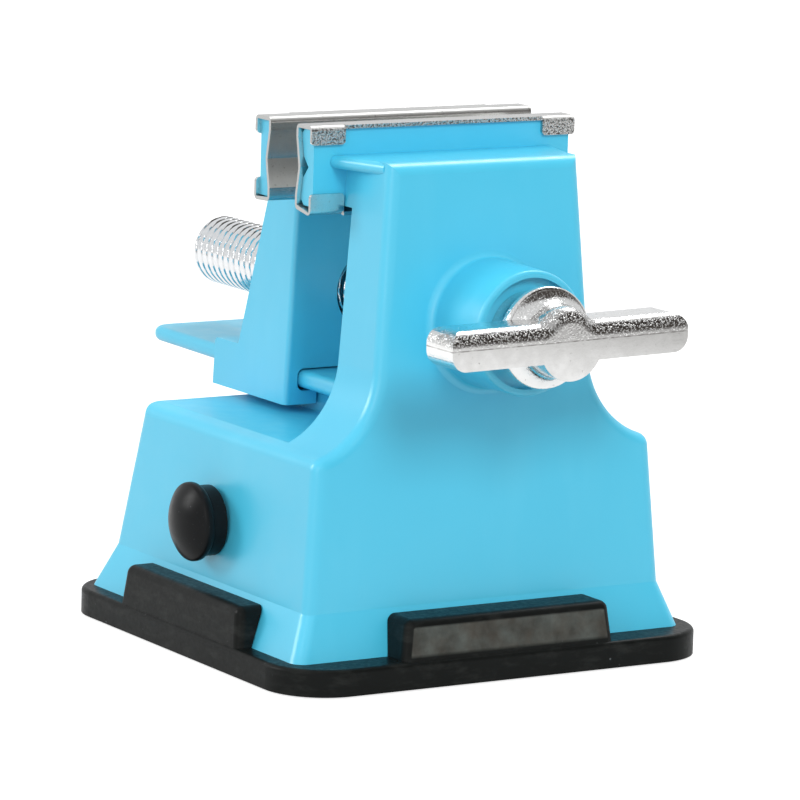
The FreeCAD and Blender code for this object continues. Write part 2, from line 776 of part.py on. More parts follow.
def handle_upper(bar):
    """The rounded upper half. Its ends are as long as the lower half's, so the two meet flush."""
    def rounded(shape, above):
        """Rounds the front and back edges that lie above a height."""
        shape = fillet(shape, handle_round, lambda e: e.BoundBox.XMin > handle_front - 0.01 and above(e))
        return fillet(shape, handle_back_round,
                      lambda e: e.BoundBox.XMax < handle_back + 0.01 and above(e))

    middle = bar.common(block(handle_back - 1, handle_front + 1, -30, 30, handle_parting, 30))
    middle = rounded(middle, lambda e: e.BoundBox.ZMax > handle_parting + 0.01)
    ends = block(handle_back, handle_front, -handle_half, handle_half, handle_parting, handle_high)
    ends = rounded(ends, lambda e: e.BoundBox.ZMin > handle_high - 0.01).common(bar)
    straight = handle_half - handle_end_radius - handle_flush
    between = block(handle_back - 1, handle_front + 1, -straight, straight, -30, 30)
    return middle.common(between).fuse(ends.cut(between)).removeSplitter()


def handle():
    """Cast in one piece: neck, collar, bell and hub, and the bar across them."""
    axis = vec(1, 0, 0)
    bar = prism_x(handle_outline(), handle_back, handle_front)
    lower = bar.common(block(handle_back - 1, handle_front + 1, -30, 30, -30, handle_parting))
    upper = handle_upper(bar)
    rim = collar_radius - collar_round
    slant = collar_round * (1 - math.sqrt(0.5))
    bell_reach = 2.2
    bell = Part.Wire([
        Part.makeLine(vec(neck_back, 0, 0), vec(neck_back, 0, neck_radius)),
        Part.makeLine(vec(neck_back, 0, neck_radius), vec(collar_back, 0, neck_radius)),
        Part.makeLine(vec(collar_back, 0, neck_radius), vec(collar_back, 0, rim)),
        Part.Arc(vec(collar_back, 0, rim), vec(collar_back + slant, 0, collar_radius - slant),
                 vec(collar_back + collar_round, 0, collar_radius)).toShape(),
        Part.makeLine(vec(collar_back + collar_round, 0, collar_radius),
                      vec(collar_front - collar_round, 0, collar_radius)),
        Part.Arc(vec(collar_front - collar_round, 0, collar_radius),
                 vec(collar_front - slant, 0, collar_radius - slant), vec(collar_front, 0, rim)).toShape(),
        Part.Arc(vec(collar_front, 0, rim), vec(collar_front + 0.5, 0, rim - 0.8),
                 vec(collar_front + bell_reach, 0, hub_radius - 0.1)).toShape(),
        Part.makeLine(vec(collar_front + bell_reach, 0, hub_radius - 0.1),
                      vec(handle_front - handle_round, 0, hub_radius - 0.1)),
        Part.makeLine(vec(handle_front - handle_round, 0, hub_radius - 0.1),
                      vec(handle_front - handle_round, 0, 0)),
        Part.makeLine(vec(handle_front - handle_round, 0, 0), vec(neck_back, 0, 0)),
    ])
    bell = Part.Face(bell).revolve(vec(0, 0, 0), axis, 360)
    shape = bell.fuse([upper, lower]).removeSplitter()
    shape.rotate(vec(0, 0, 0), axis, handle_turn)
    shape.translate(vec(0, 0, screw_height))
    return shape.cut(rod_x(spigot_radius, 0.0, screw_head))


def suction_pad():
    rim = Part.Face(rounded_rectangle(-pad_half, pad_half, -pad_half, pad_half, pad_corner, 0.0))
    pad = rim.extrude(vec(0, 0, pad_rim))
    pad = fillet(pad, 0.6, lambda e: e.BoundBox.ZMin > pad_rim - 0.01)
    dish = Part.makeCone(pad_web_radius, pad_rim_radius, pad_rim - pad_web, vec(0, 0, pad_web))
    pad = pad.cut(dish)
    outward = {"front": (skirt_front, base_front), "rear": (skirt_rear, base_rear),
               "side": (skirt_half, base_half)}
    tabs = []
    for name, angle in (("front", 0), ("side", 90), ("rear", 180), ("side", 270)):
        foot, head = outward[name]
        lean = (foot - head) / (skirt_top - pad_rim)
        inner_top = foot + tab_gap - (tab_top - pad_rim) * lean
        inner_low = foot + tab_gap
        low = pad_rim - 0.8
        outer_top = pad_half - tab_inset
        tab = prism_y([(inner_low, low), (inner_low, pad_rim), (inner_top, tab_top),
                       (outer_top, tab_top), (pad_half - tab_inset_foot, low)], -40.0, 40.0)
        tab = tab.common(prism_x([(-tab_half - tab_foot_more, low), (tab_half + tab_foot_more, low),
                                  (tab_half, tab_top), (-tab_half, tab_top)], 0.0, 40.0))

        def is_outside(edge):
            mid = edge.CenterOfMass
            on_top = mid.z > tab_top - 0.01 and mid.x > inner_top + 0.1
            on_face = mid.x > outer_top - 0.01 and mid.z > low + 0.1
            return on_top or on_face

        tab = fillet(tab, tab_round, is_outside)
        tab.rotate(vec(0, 0, 0), vec(0, 0, 1), angle)
        tabs.append(tab)
    return pad.fuse(tabs).removeSplitter()


def shaft_end(y_low, y_high):
    """The D-shaped end that the lever sits on, or its bore."""
    return rod_y(shaft_radius, y_low, y_high).cut(
        block(shaft_radius - lever_flat, 20, y_low - 1, y_high + 1, 0, 60))


def cam_shaft():
    """Shaft with a big journal, a crank pin in the middle and a D end."""
    cheek = crank_half - crank_cheek
    left = rod_y(shaft_radius, -cap_stub_end, -cheek)
    right = rod_y(shaft_radius, cheek, boss_inner)
    journal = rod_y(journal_radius, boss_inner, lever_face)
    tail = shaft_end(lever_face - 0.5, lever_face + lever_thick - lever_floor)
    pin = rod_y(shaft_radius, -crank_half, crank_half, pin_x, pin_z)
    shape = left.fuse([right, journal, tail, pin]).removeSplitter()
    return shape.cut(rod_y(lever_screw_radius, lever_face + lever_thick - lever_screw_depth, 60.0))


def shaft_cap():
    """The domed cap over the shaft's -Y end."""
    stub = rod_y(cap_stub_radius, -cap_stub_end, -cap_stub_start)
    rise = cap_crown - cap_rim_end
    ball = (cap_head_radius ** 2 + rise ** 2) / (2 * rise)
    dome = Part.makeSphere(ball, vec(0, -cap_crown + ball, shaft_height))
    head = rod_y(cap_head_radius, -cap_crown - 1.0, -cap_stub_end).common(dome)
    head = fillet(head, cap_round, lambda e: e.Closed and e.Length > 2 * math.pi * cap_stub_radius)
    return stub.fuse(head).removeSplitter().cut(rod_y(shaft_radius, -cap_stub_end, 0.0))


def suction_lever():
    """The lever on the +Y end: a round hub and an arm that narrows to a round tip."""
    reach = lever_length - lever_tip_radius
    lean = math.asin((lever_hub_radius - lever_tip_radius) / reach)
    up, along = math.cos(lean), math.sin(lean)
    hub_x, hub_z = -lever_hub_radius * along, lever_hub_radius * up
    tip_x, tip_z = -reach - lever_tip_radius * along, lever_tip_radius * up
    y_low, y_high = lever_face, lever_face + lever_thick
    outline = [
        (hub_x, shaft_height - hub_z),
        ((lever_hub_radius, shaft_height), (hub_x, shaft_height + hub_z)),
        (tip_x, shaft_height + tip_z),
        ((-lever_length, shaft_height), (tip_x, shaft_height - tip_z)),
    ]
    arm = prism_y(outline, y_low, y_high)
    arm = fillet(arm, 1.0, lambda e: e.BoundBox.YMin > y_high - 0.01)
    hole = rod_y(lever_screw_radius + 0.1, 0.0, 60.0)
    return arm.cut(shaft_end(0.0, y_high - lever_floor)).cut(hole)


def lever_screw():
    face = lever_face + lever_thick + lever_washer_thick
    top = face + lever_head_height
    head = fillet(rod_y(lever_head_radius, face, top), 0.7, lambda e: e.BoundBox.YMin > face + 1.0)
    shank = rod_y(lever_screw_radius - 0.02, lever_face + lever_thick - lever_screw_depth + 0.2, face)
    level = block(-cross_half, cross_half, top - cross_deep, top + 1.0,
                  shaft_height - cross_wide, shaft_height + cross_wide)
    upright = block(-cross_wide, cross_wide, top - cross_deep, top + 1.0,
                    shaft_height - cross_half, shaft_height + cross_half)
    return head.fuse(shank).removeSplitter().cut(level).cut(upright)


def lever_washer():
    face = lever_face + lever_thick
    outer = rod_y(lever_washer_radius, face, face + lever_washer_thick)
    return outer.cut(rod_y(lever_screw_radius + 0.1, face - 1.0, face + 2.0))


def pull_yoke():
    """The block on the stud that the crank pin lifts."""
    half_flat = crank + slot_spare
    half_long = half_flat + slot_half
    half_x = half_long + yoke_wall_x
    half_y = crank_half - crank_cheek - yoke_gap
    body = block(-half_x, half_x, -half_y, half_y, yoke_low, yoke_high)
    body = fillet(body, 1.0, lambda e: e.BoundBox.YLength > 2 * half_y - 0.1)
    slot = prism_y([
        (-half_flat, pin_z - slot_half), (half_flat, pin_z - slot_half),
        ((half_long, pin_z), (half_flat, pin_z + slot_half)), (-half_flat, pin_z + slot_half),
        ((-half_long, pin_z), (-half_flat, pin_z - slot_half)),
    ], -20.0, 20.0)
    return body.cut(slot).cut(rod_z(stud_radius, 0.0, stud_top))


def pad_stud():
    """The flanged stud whose disc pulls the pad's middle up."""
    disc = rod_z(stud_disc_radius, stud_disc_low, stud_disc_low + stud_disc_thick)
    disc = fillet(disc, 0.3, lambda e: e.Length > 5 and e.BoundBox.ZLength < 0.01)
    return disc.fuse(rod_z(stud_radius, stud_disc_low + 0.5, stud_top)).removeSplitter()


def stud_nut():
    nut = prism_z(hexagon(stud_nut_flats), yoke_low - stud_nut_thick, yoke_low)
    return nut.cut(rod_z(stud_radius, 0.0, 30.0))


def guide_plate():
    """Keeps the stud upright."""
    outline = rounded_rectangle(-guide_half_x, guide_half_x, -guide_half_y, guide_half_y,
                                guide_corner, guide_low)
    plate = Part.Face(outline).extrude(vec(0, 0, guide_thick))
    plate = plate.cut(rod_z(stud_radius + guide_gap, 0.0, 30.0))
    for x, y in post_places():
        plate = plate.cut(rod_z(post_screw_radius + 0.2, 0.0, 30.0, x, y))
    return plate


def guide_screws():
    """Four round-headed screws, from below into the posts."""
    screws = []
    for x, y in post_places():
        head = rod_z(post_head_radius, guide_low - post_head_height, guide_low, x, y)
        head = fillet(head, 0.5, lambda e: e.BoundBox.ZMax < guide_low - 1.0)
        shank = rod_z(post_screw_radius - 0.01, guide_low - 0.5, guide_top + post_screw_depth - 0.5, x, y)
        screws.append(head.fuse(shank).removeSplitter())
    return Part.makeCompound(screws)


os.makedirs("parts", exist_ok=True)
save(housing(), "housing")
save(jaw_plate(fixed_face, 1, fixed_flange_drop), "fixed_jaw_plate")
save(moving_jaw(), "moving_jaw")
save(jaw_plate(moving_face, -1, moving_flange_drop), "moving_jaw_plate")
save(jaw_nut(), "jaw_nut")
save(clamp_screw(), "clamp_screw")
save(handle(), "handle")
save(inner_washer(), "inner_washer")
save(retaining_ring(), "retaining_ring")
save(suction_pad(), "suction_pad")
save(pad_stud(), "pad_stud")
save(stud_nut(), "stud_nut")
save(pull_yoke(), "pull_yoke")
save(guide_plate(), "guide_plate")
save(guide_screws(), "guide_screws")
save(cam_shaft(), "cam_shaft")
save(shaft_cap(), "shaft_cap")
save(suction_lever(), "suction_lever")
save(lever_washer(), "lever_washer")
save(lever_screw(), "lever_screw")
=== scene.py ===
import bpy
import bmesh
import math
from mathutils import Matrix, Vector

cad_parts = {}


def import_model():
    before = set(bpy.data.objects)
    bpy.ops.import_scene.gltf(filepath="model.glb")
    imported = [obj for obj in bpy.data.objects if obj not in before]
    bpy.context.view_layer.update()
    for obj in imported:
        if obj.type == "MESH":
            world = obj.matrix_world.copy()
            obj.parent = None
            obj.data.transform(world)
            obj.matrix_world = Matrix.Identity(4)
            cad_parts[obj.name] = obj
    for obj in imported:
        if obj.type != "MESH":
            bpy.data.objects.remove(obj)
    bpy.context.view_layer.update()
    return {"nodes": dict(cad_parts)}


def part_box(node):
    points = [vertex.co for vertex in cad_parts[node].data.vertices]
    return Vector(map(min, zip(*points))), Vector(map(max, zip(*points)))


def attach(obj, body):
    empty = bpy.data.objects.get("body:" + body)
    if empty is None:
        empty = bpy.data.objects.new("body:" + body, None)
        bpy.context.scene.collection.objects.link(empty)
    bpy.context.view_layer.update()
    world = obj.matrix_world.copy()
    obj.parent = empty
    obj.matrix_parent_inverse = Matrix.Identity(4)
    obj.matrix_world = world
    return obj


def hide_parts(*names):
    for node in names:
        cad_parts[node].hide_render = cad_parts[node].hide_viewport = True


# The looks of a small suction vise: a finish for each piece, the clamp screw with its thread, and a
# white studio. Sizes and places on the object are in millimetres, those of the studio in metres.

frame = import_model()
nodes = frame["nodes"]
scene = bpy.context.scene
MM = 0.001

SCREW_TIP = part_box("clamp_screw")[0].x / MM
SPIGOT_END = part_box("clamp_screw")[1].x / MM
SCREW_HEIGHT = 45.3
SCREW_RADIUS = 4.74
THREAD_DEPTH = 0.5
NECK_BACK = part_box("handle")[0].x / MM
BAR_STANDS_OUT = 4.0         # the handle's bar stands this far in front of its bell
BELL_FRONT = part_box("handle")[1].x / MM - BAR_STANDS_OUT
PARTING_LIFT = 0.45          # the handle's parting line lies this far above the screw's axis
PARTING_SLOPE = 0.021        # and rises this much per millimetre along Y
PAD_RIM = (3.9, 4.4)         # the pad's tabs stand up above this height
TAB_FRONT = (20.0, 21.0)     # the tab with chalky wear and a painted sheen lies beyond this, along X
HOOKS_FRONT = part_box("fixed_jaw_plate")[1].x / MM
HOOKS_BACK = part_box("moving_jaw_plate")[0].x / MM
JAW_MIDDLE = 0.5 * (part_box("fixed_jaw_plate")[0].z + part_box("fixed_jaw_plate")[1].z) / MM

# ---------------------------------------------------------------- node helpers


class Graph:
    """A node tree, with short calls for the nodes used here."""

    def __init__(self, tree):
        self.tree = tree

    def node(self, kind, inputs=None, **settings):
        made = self.tree.nodes.new("ShaderNode" + kind)
        for key, value in settings.items():
            setattr(made, key, value)
        for key, value in (inputs or {}).items():
            self.put(value, made.inputs[key])
        return made

    def put(self, value, socket):
        if isinstance(value, bpy.types.NodeSocket):
            self.tree.links.new(value, socket)
        else:
            socket.default_value = value

    def math(self, operation, a, b=0.0):
        return self.node("Math", {0: a, 1: b}, operation=operation).outputs["Value"]

    def times(self, a, b):
        return self.math("MULTIPLY", a, b)

    def vector(self, operation, a, b=(0.0, 0.0, 0.0)):
        """Vector maths, whose result is in Vector or in Value."""
        return self.node("VectorMath", {0: a, 1: b}, operation=operation).outputs

    def spread(self, value, low, high, to_low=0.0, to_high=1.0, **settings):
        """Carries the range from low to high over to another range, and stops at its ends."""
        made = self.node("MapRange", {"Value": value, "From Min": low, "From Max": high,
                                      "To Min": to_low, "To Max": to_high}, **settings)
        return made.outputs["Result"]

    def mix(self, share, a, b):
        made = self.node("Mix", data_type="RGBA")
        self.put(share, made.inputs["Factor"])
        self.put(a, made.inputs[6])
        self.put(b, made.inputs[7])
        return made.outputs[2]


class Finish(Graph):
    """A material round one Principled shader."""

    def __init__(self, name, **settings):
        self.material = bpy.data.materials.new(name)
        self.material.use_nodes = True
        super().__init__(self.material.node_tree)
        self.shader = self.tree.nodes["Principled BSDF"]
        self.set(**settings)

    def set(self, **values):
        """Gives numbers, colours or links to the shader's sockets."""
        for key, value in values.items():
            self.put(value, self.shader.inputs[key.replace("_", " ")])
        return self.material

    def place(self, stretch=(1.0, 1.0, 1.0)):
        """Position on the piece, in millimetres, at rest."""
        where = self.node("TexCoord").outputs["Object"]
        scaled = self.node("Mapping", {"Vector": where, "Scale": [s / MM for s in stretch]})
        return scaled.outputs["Vector"]

    def axes(self):
        """X, Y and Z of the position on the piece, in millimetres."""
        return self.node("SeparateXYZ", {"Vector": self.place()}).outputs

    def facing(self):
        """X, Y and Z of the way that the surface faces."""
        return self.node("SeparateXYZ", {"Vector": self.node("TexCoord").outputs["Normal"]}).outputs

    def noise(self, size, detail=3.0, roughness=0.5, stretch=(1.0, 1.0, 1.0)):
        """Noise with features about size millimetres across."""
        made = self.node("TexNoise", {"Vector": self.place(stretch), "Scale": 1.0 / size,
                                      "Detail": detail, "Roughness": roughness})
        return made.outputs["Fac"]

    def cells(self, scale):
        """Distance to the nearest of many scattered points, about scale of them along a millimetre."""
        return self.node("TexVoronoi", {"Vector": self.place(), "Scale": scale}).outputs["Distance"]

    def bump(self, height, distance, strength=1.0, over=None):
        """A normal from a height, distance millimetres deep."""
        inputs = {"Height": height, "Distance": distance * MM, "Strength": strength}
        if over is not None:
            inputs["Normal"] = over
        return self.node("Bump", inputs).outputs["Normal"]


def rgb(red, green, blue):
    """A colour as seen on a screen, 0 to 255, in linear light."""
    def linear(value):
        value /= 255
        return value / 12.92 if value <= 0.04045 else ((value + 0.055) / 1.055) ** 2.4
    return (linear(red), linear(green), linear(blue), 1.0)


# ---------------------------------------------------------------- materials

# On flat faces, roughness stays wholly above 0.29 or wholly below 0.27: where it crosses that gap,
# a render's denoiser leaves small dark marks.
BAND = (0.3, 0.7)            # most values of a noise lie in here


def blue_plastic():
    """Injection-moulded ABS, satin, with faint flow marks."""
    g = Finish("blue_abs", IOR=1.5, Specular_IOR_Level=0.85)
    cloud = g.noise(22.0, 2.0)
    flow = g.noise(7.0, 3.0, stretch=(1.0, 1.0, 0.25))
    colour = g.mix(cloud, rgb(68, 192, 226), rgb(76, 198, 231))
    colour = g.mix(g.spread(flow, 0.55, 0.8, 0.0, 0.35), colour, rgb(92, 205, 236))
    rough = g.spread(g.noise(3.0, 4.0), *BAND, 0.29, 0.38)
    skin = g.bump(g.noise(0.5, 2.0), 0.006, 0.4)
    wavy = g.bump(g.noise(14.0, 1.0), 0.12, 0.25, over=skin)
    return g.set(Base_Color=colour, Roughness=rough, Normal=wavy)


def black_rubber():
    """Moulded rubber: satin black, with a little dust, a few scuffs, and chalky wear with a painted
    sheen on the front tab.
    """
    g = Finish("black_rubber", IOR=1.5, Specular_IOR_Level=0.1)
    grain = g.noise(0.6, 4.0, 0.6)
    patch = g.noise(9.0, 3.0)
    colour = g.mix(patch, rgb(15, 17, 16), rgb(23, 25, 24))
    dust = g.times(g.spread(g.cells(0.55), 0.04, 0.1, 1.0, 0.0), g.spread(g.noise(5.0), 0.5, 0.6))
    colour = g.mix(g.times(dust, 0.5), colour, rgb(120, 124, 126))
    scuff = g.spread(g.noise(1.6, 5.0, 0.65, stretch=(0.35, 0.35, 1.0)), 0.5, 0.78)
    colour = g.mix(g.times(scuff, 0.35), colour, rgb(62, 64, 62))
    place = g.axes()
    # Painted sheen with chalky wear: the front tab's face that looks along +X is painted paler grey.
    sheen_and_wear = g.times(g.spread(g.facing()["X"], 0.96, 0.99), g.spread(place["Z"], *PAD_RIM))
    sheen_and_wear = g.times(sheen_and_wear, g.spread(place["X"], *TAB_FRONT))
    sheen_and_wear = g.times(sheen_and_wear, g.spread(g.noise(2.6, 4.0, 0.6), *BAND, 0.55, 1.0))
    chalk_and_sheen = g.mix(g.spread(g.noise(4.5, 3.0, 0.6), 0.35, 0.65), rgb(76, 73, 67), rgb(88, 92, 88))
    colour = g.mix(sheen_and_wear, colour, chalk_and_sheen)
    rough = g.spread(grain, *BAND, 0.3, 0.46)
    return g.set(Base_Color=colour, Roughness=rough, Normal=g.bump(grain, 0.02, 0.5))


def black_plastic():
    """Satin black nylon with a few pale specks."""
    g = Finish("black_plastic", IOR=1.5, Specular_IOR_Level=0.12)
    fine = g.noise(0.8, 3.0)
    colour = g.mix(g.noise(6.0), rgb(14, 15, 16), rgb(22, 23, 24))
    speck = g.spread(g.noise(0.35, 2.0, 0.6), 0.7, 0.76)
    colour = g.mix(g.times(speck, 0.3), colour, rgb(96, 98, 100))
    return g.set(Base_Color=colour, Roughness=g.spread(fine, *BAND, 0.29, 0.36),
                 Normal=g.bump(fine, 0.006, 0.4))


def plated_sheet():
    """Plated steel strip, rolled along the jaw: small pits, dull cut ends, painted shade on the tops,
    and crimped hooks with a painted dark reflection.
    """
    g = Finish("plated_sheet", Metallic=1.0)
    place, facing = g.axes(), g.facing()
    roll = g.noise(0.25, 3.0, 0.6, stretch=(1.0, 0.04, 1.0))
    stain = g.noise(2.2, 4.0, 0.65)
    colour = g.mix(stain, rgb(214, 214, 212), rgb(236, 236, 234))
    pits = g.spread(g.noise(0.5, 3.0, 0.7), 0.6, 0.72)
    colour = g.mix(g.times(pits, 0.45), colour, rgb(120, 114, 108))
    cut_end = g.spread(g.math("ABSOLUTE", facing["Y"]), 0.9, 0.97)
    colour = g.mix(cut_end, colour, rgb(176, 177, 176))
    # Painted shade: the faces that look up are painted darker and duller, in patches.
    painted_top_shade = g.times(g.spread(facing["Z"], 0.95, 0.99), g.spread(g.noise(8.0, 2.0), *BAND, 0.7, 1.0))
    colour = g.mix(painted_top_shade, colour, rgb(176, 174, 171))
    hook = g.math("MAXIMUM", g.spread(place["X"], HOOKS_FRONT - 0.15, HOOKS_FRONT - 0.05),
                  g.spread(place["X"], HOOKS_BACK + 0.05, HOOKS_BACK + 0.15, 1.0, 0.0))
    hook = g.times(hook, g.spread(place["Z"], JAW_MIDDLE, JAW_MIDDLE + 0.5))
    crimp_and_dark_reflection = g.spread(g.noise(0.3, 2.0, 0.7), 0.42, 0.6)
    # Painted dark reflection on the hooks, laid into their real crimped grain.
    colour = g.mix(g.times(hook, g.spread(crimp_and_dark_reflection, 0.0, 0.5, 0.8, 0.0)), colour, rgb(74, 68, 64))
    bend = g.times(facing["Z"], g.math("ABSOLUTE", facing["X"]))
    rough = g.math("ADD", g.spread(roll, *BAND, 0.19, 0.26), g.spread(bend, 0.1, 0.35, 0.0, 0.3))
    normal = g.bump(g.noise(0.7, 3.0, 0.6), 0.008, 0.5, over=g.bump(roll, 0.0006, 0.5))
    normal = g.bump(g.times(crimp_and_dark_reflection, hook), 0.05, 1.0, over=normal)
    return g.set(Base_Color=colour, Roughness=rough, Normal=normal)


def cast_chrome():
    """Chrome over a die casting: a smooth flat front, and sparkling grain above its parting line."""
    g = Finish("cast_chrome", Metallic=1.0)
    place, facing = g.axes(), g.facing()
    lumps = g.noise(1.6, 3.0, 0.55)
    grain = g.spread(g.noise(0.26, 2.0, 0.6), 0.52, 0.66)
    pits = g.spread(g.noise(0.5, 3.0, 0.7), 0.66, 0.72)
    line = g.math("ADD", SCREW_HEIGHT + PARTING_LIFT, g.times(place["Y"], PARTING_SLOPE))
    above = g.math("SUBTRACT", place["Z"], line)
    upper = g.spread(above, 0.0, 0.4, 0.01, 1.0)
    upper = g.times(upper, g.spread(place["X"], BELL_FRONT - 0.2, BELL_FRONT, 0.35, 1.0))
    slanted = g.times(g.spread(facing["Z"], 0.1, 0.4, 0.3, 1.0),
                      g.spread(facing["Z"], 0.85, 0.97, 1.0, 0.12))
    upper = g.times(upper, slanted)
    grainy = g.math("MAXIMUM", upper, g.spread(facing["X"], 0.8, 0.95, 0.3, 0.0))
    colour = g.mix(lumps, rgb(226, 226, 225), rgb(242, 242, 241))
    colour = g.mix(g.times(pits, 0.6), colour, rgb(96, 88, 82))
    seam = g.times(g.spread(g.math("ABSOLUTE", above), 0.04, 0.11, 1.0, 0.0),
                   g.spread(g.noise(0.9, 2.0), 0.35, 0.6, 0.15, 0.65))
    colour = g.mix(seam, colour, rgb(88, 82, 76))
    # Painted dark reflection on the upper slanted faces, darkest in the grain's hollows.
    painted_dark_reflection = g.times(upper, g.spread(grain, 0.0, 0.7, 0.5, 0.0))
    colour = g.mix(painted_dark_reflection, colour, rgb(84, 78, 73))
    rough = g.spread(lumps, 0.35, 0.7, 0.07, 0.16)
    coarse = g.times(g.math("ADD", grain, g.times(pits, -0.6)), grainy)
    normal = g.bump(coarse, 0.04, 1.0, over=g.bump(lumps, 0.004, 0.5))
    return g.set(Base_Color=colour, Roughness=rough, Normal=normal)


def thread_chrome():
    """Bright chrome on the rolled thread, with painted shade darkening its roots."""
    g = Finish("thread_chrome", Metallic=1.0)
    fine = g.noise(0.5, 3.0)
    colour = g.mix(fine, rgb(212, 214, 216), rgb(236, 237, 238))
    from_axis = g.vector("SUBTRACT", g.place(), (0.0, 0.0, SCREW_HEIGHT))["Vector"]
    across = g.vector("MULTIPLY", from_axis, (0.0, 1.0, 1.0))["Vector"]
    radius = g.vector("LENGTH", across)["Value"]
    # Painted shade darkening the thread's roots.
    painted_root_shade = g.spread(radius, SCREW_RADIUS - THREAD_DEPTH, SCREW_RADIUS - 0.5 * THREAD_DEPTH, 0.85, 0.0)
    colour = g.mix(painted_root_shade, colour, rgb(58, 60, 62))
    return g.set(Base_Color=colour, Roughness=g.spread(fine, *BAND, 0.08, 0.18),
                 Normal=g.bump(fine, 0.015, 0.5))


def zinc_plate():
    """Dull zinc plating on the small steel pieces."""
    g = Finish("zinc_plate", Metallic=1.0)
    fine = g.noise(0.4, 3.0)
    colour = g.mix(g.cells(1.4), rgb(168, 172, 178), rgb(196, 199, 203))
    return g.set(Base_Color=colour, Roughness=g.spread(fine, *BAND, 0.29, 0.42),
                 Normal=g.bump(fine, 0.01, 0.5))


materials = {
    "blue_plastic": blue_plastic(),
    "pad_rubber": black_rubber(),
    "lever_plastic": black_plastic(),
    "plate_steel": plated_sheet(),
    "screw_chrome": thread_chrome(),
    "handle_chrome": cast_chrome(),
    "zinc_steel": zinc_plate(),
}
finishes = {
    "housing": "blue_plastic", "moving_jaw": "blue_plastic",
    "suction_pad": "pad_rubber",
    "shaft_cap": "lever_plastic", "suction_lever": "lever_plastic",
    "fixed_jaw_plate": "plate_steel", "moving_jaw_plate": "plate_steel",
    "clamp_screw": "screw_chrome", "handle": "handle_chrome",
}
for name, node in nodes.items():
    finish = materials[finishes.get(name, "zinc_steel")]
    node.data.materials.clear()
    node.data.materials.append(finish)

# ---------------------------------------------------------------- clamp screw with its thread

PITCH = 1.5
ROOT_FLAT = 0.06             # half the root's flat and each flank, as shares of half a pitch
FLANK = 0.3
THREAD_END = 10.6
THREAD_RUNOUT = 1.5
RUNOUT_GAP = 0.05            # from the thread's last ring to the plain shank
TIP_CHAMFER = 0.6
GROOVE = (11.8, 12.6)        # the retaining ring's groove, from and to along X
GROOVE_RADIUS = 3.99
SPIGOT_RADIUS = 3.18
AROUND_SCREW = 96            # points to a ring
RINGS_PER_PITCH = 16
SHARP_ANGLE = 50             # degrees


def thread_radius(x, turn):
    """Radius of the thread at a place along the screw: broad flat crests and narrow roots."""
    step = (x / PITCH - turn / (2 * math.pi)) % 1.0
    from_root = abs(step - 0.5) * 2
    rise = min(1.0, max(0.0, (from_root - ROOT_FLAT) / FLANK))
    rise = rise * rise * (3 - 2 * rise)
    fade = min(1.0, max(0.0, (THREAD_END - x) / THREAD_RUNOUT))
    return SCREW_RADIUS - THREAD_DEPTH * (1 - rise) * fade


def screw_mesh():
    """A closed skin over rings of points: the thread, then the shank, its groove and its spigot."""
    mesh = bmesh.new()
    rings = []

    def ring(x, radius_at):
        made = []
        for i in range(AROUND_SCREW):
            turn = 2 * math.pi * i / AROUND_SCREW
            radius = radius_at(turn)
            made.append(mesh.verts.new((x * MM, radius * math.cos(turn) * MM,
                                        (SCREW_HEIGHT + radius * math.sin(turn)) * MM)))
        rings.append(made)

    for i in range(int((THREAD_END - SCREW_TIP) / PITCH * RINGS_PER_PITCH) + 1):
        x = SCREW_TIP + i * PITCH / RINGS_PER_PITCH
        chamfer = SCREW_RADIUS - TIP_CHAMFER + (x - SCREW_TIP)
        ring(x, lambda turn: min(thread_radius(x, turn), chamfer))
    steps = ((THREAD_END + RUNOUT_GAP, SCREW_RADIUS), (GROOVE[0], SCREW_RADIUS),
             (GROOVE[0], GROOVE_RADIUS), (GROOVE[1], GROOVE_RADIUS), (GROOVE[1], SCREW_RADIUS),
             (NECK_BACK, SCREW_RADIUS), (NECK_BACK, SPIGOT_RADIUS), (SPIGOT_END, SPIGOT_RADIUS))
    for x, radius in steps:
        ring(x, lambda turn: radius)
    for a, b in zip(rings, rings[1:]):
        for i in range(AROUND_SCREW):
            j = (i + 1) % AROUND_SCREW
            mesh.faces.new((a[i], b[i], b[j], a[j]))
    mesh.faces.new(rings[0])
    mesh.faces.new(list(reversed(rings[-1])))
    bmesh.ops.recalc_face_normals(mesh, faces=mesh.faces)
    return mesh


def finished(mesh, name, slot):
    """Turns a bmesh into a piece with its material."""
    data = bpy.data.meshes.new(name)
    mesh.to_mesh(data)
    mesh.free()
    data.materials.append(materials[slot])
    piece = bpy.data.objects.new(name, data)
    scene.collection.objects.link(piece)
    data.shade_smooth()
    data.set_sharp_from_angle(angle=math.radians(SHARP_ANGLE))
    return piece


screw = finished(screw_mesh(), "clamp_screw_threaded", "screw_chrome")
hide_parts("clamp_screw")
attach(screw, "screw")

# ---------------------------------------------------------------- floor, lights and camera

# What the world and the floor give to each kind of ray.
WHITE = (1, 1, 1, 1)
AROUND = (0.76, 0.76, 0.76, 1)
DIM_SIDE = (0.66, 0.514, 0.54)       # the way to the dim side
DIM_EDGE = (0.78, 0.87)              # cosines of the angles to it where it begins and is full
DIM = (0.085, 0.075, 0.068, 1)
SHINE = (0.87, 0.88, 0.89, 1)
FLOOR_GREYS = ((0.45, 0.45, 0.45, 1), (0.48, 0.48, 0.48, 1))
FLOOR_SEEN = 0.75
FLOOR_SHINE = 0.46
FLOOR_SHINE_LEFT = 0.6
FLOOR_SHINE_FAR = 0.12       # share of its shine that the floor keeps beyond the table
AWAY = (0.85, 0.52, 0.0)     # the way a face square to the screw mirrors the camera's view
TABLE = (0.3, 0.35)          # beyond this, that way, the metal reflects a darker room
LEFT = (0.0, -0.12)          # and the other way a brighter floor
FLOOR_HALF = 2.0
FLOOR_DROP = 0.0002          # the floor lies just under the pad


